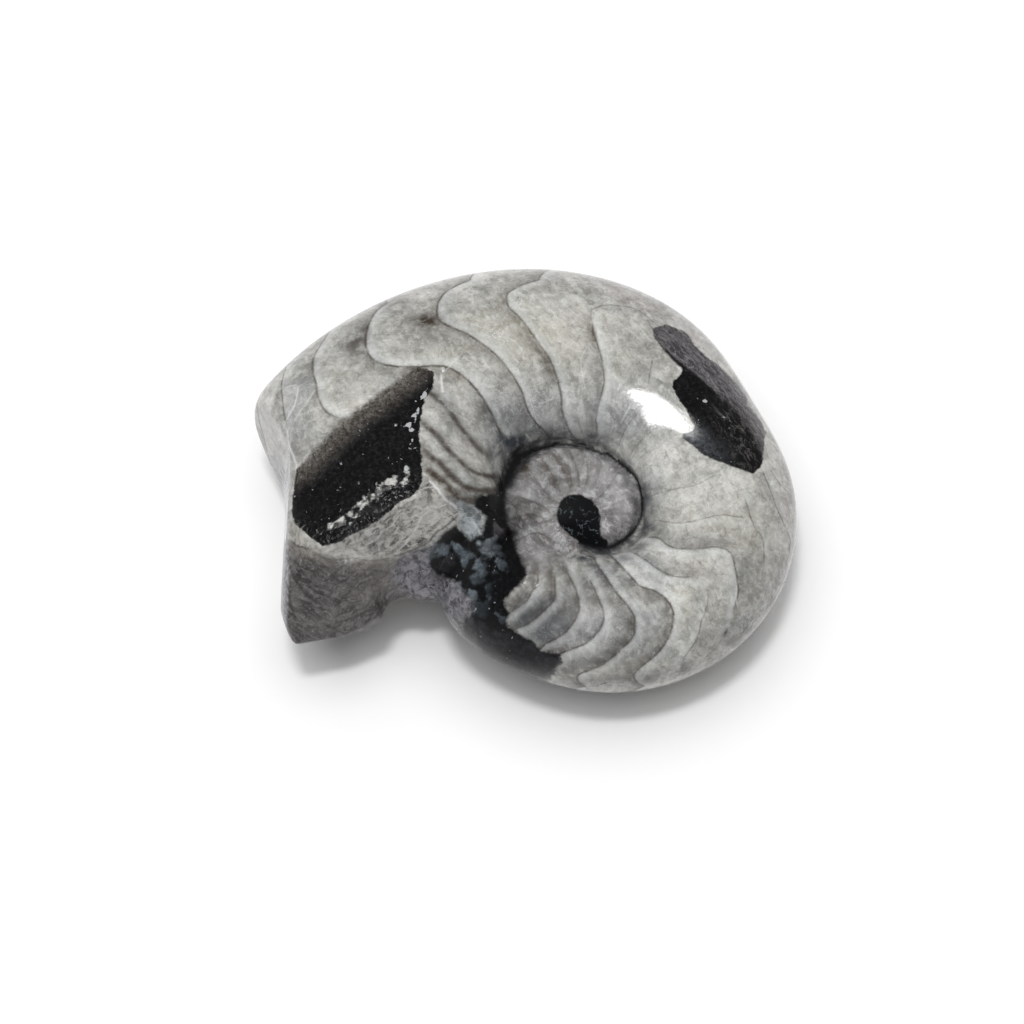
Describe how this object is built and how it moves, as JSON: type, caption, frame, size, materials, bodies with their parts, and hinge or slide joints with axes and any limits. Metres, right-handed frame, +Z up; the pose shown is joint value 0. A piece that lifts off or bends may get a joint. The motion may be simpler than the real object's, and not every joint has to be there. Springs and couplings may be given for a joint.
{
  "type": "polished goniatite fossil",
  "caption": "Polished fossil shell: a fat, tightly coiled whorl lying on its flank, with a small deep umbilicus, a seam that spirals in, and a hollow broken mouth.",
  "frame": {"origin": "centre of the bounding box on the surface that the stone rests on", "axes": "+Z up, through the upper flank; +X along the longest side, away from the broken mouth; the coil axis leans about 4 degrees from +Z"},
  "size_m": [0.078, 0.0646, 0.0286],
  "materials": {
    "polished_fossil_stone": "polished"
  },
  "bodies": {
    "root": {"goniatite": "polished_fossil_stone"}
  },
  "joints": []
}
